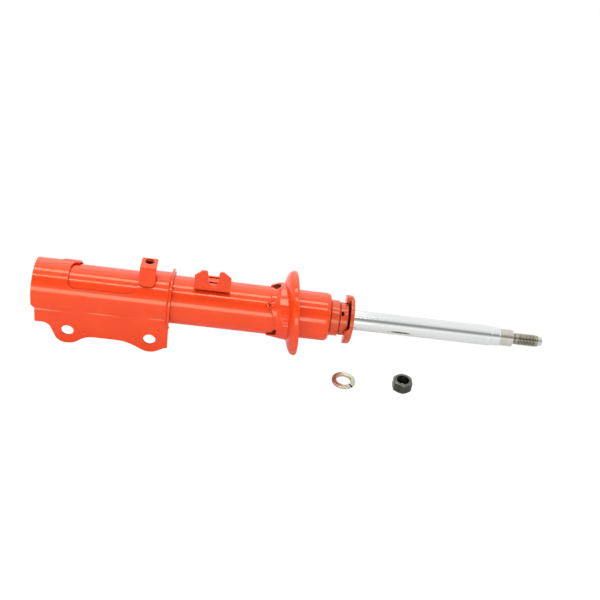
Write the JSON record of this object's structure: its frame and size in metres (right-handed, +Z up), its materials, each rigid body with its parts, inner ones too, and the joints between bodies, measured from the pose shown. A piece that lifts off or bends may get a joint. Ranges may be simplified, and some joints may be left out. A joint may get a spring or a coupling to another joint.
{
  "type": "suspension strut assembly",
  "caption": "Front suspension strut: painted twin-tube damper with knuckle bracket, spring seat, hose bracket and clip, chromed rod, loose top nut and spring washer.",
  "frame": {"origin": "on the strut's axis, at the flat face of the base cap at the knuckle end", "axes": "+X along the strut towards the rod's thread, +Z up, away from the ears of the knuckle bracket, +Y across the strut"},
  "size_m": [0.504, 0.0928, 0.0962],
  "materials": {
    "red_paint": "gloss orange-red stoving enamel over welded steel",
    "chrome": "ground and hard-chromed, mirror finish",
    "plain_steel": "plain machined or pressed steel, oiled",
    "yellow_zinc": "yellow passivated zinc with pink and green tints",
    "black_steel": "black phosphated, slightly oily",
    "sintered_iron": "sintered iron, matt",
    "bronze": "sintered bronze lining, satin",
    "rubber": "black nitrile rubber",
    "ptfe": "filled PTFE band, matt"
  },
  "bodies": {
    "strut_body": {"reserve_tube": "red_paint", "base_cap": "red_paint", "knuckle_bracket": "red_paint", "hose_bracket": "red_paint", "hose_weld_nut": "red_paint", "hose_clip_plate": "red_paint", "seat_collar": "red_paint", "spring_seat": "red_paint", "end_cap": "red_paint", "striker_plate": "red_paint", "inner_cylinder": "plain_steel", "base_valve_body": "sintered_iron", "base_valve_disc": "plain_steel", "base_valve_bolt": "plain_steel", "rod_guide": "sintered_iron", "guide_bush": "bronze", "oil_seal": "rubber", "guide_o_ring": "rubber", "seal_washer": "plain_steel"},
    "piston_set": {"piston": "sintered_iron", "piston_band": "ptfe", "rebound_discs": "plain_steel", "compression_disc": "plain_steel"},
    "rod_set": {"piston_rod": "chrome", "stop_washer": "plain_steel", "piston_nut": "plain_steel", "rebound_stop": "plain_steel", "rebound_bumper": "rubber"},
    "washer_body": {"spring_washer": "yellow_zinc"},
    "nut_body": {"hex_nut": "black_steel"}
  },
  "joints": [
    {"name": "rod_slide", "type": "slide", "parent": "strut_body", "child": "piston_set", "axis": [1, 0, 0], "range_m": [-0.13, 0], "stiffness_N_per_m": 120, "springref_m": 1},
    {"name": "rod_turn", "type": "hinge", "parent": "piston_set", "child": "rod_set", "pos_m": [0.3, 0, 0], "axis": [1, 0, 0], "continuous": true},
    {"name": "washer_lift", "type": "slide", "parent": "strut_body", "child": "washer_body", "axis": [0, 0, 1], "range_m": [0, 0.06]},
    {"name": "nut_lift", "type": "slide", "parent": "strut_body", "child": "nut_body", "axis": [0, 0, 1], "range_m": [0, 0.06]}
  ]
}
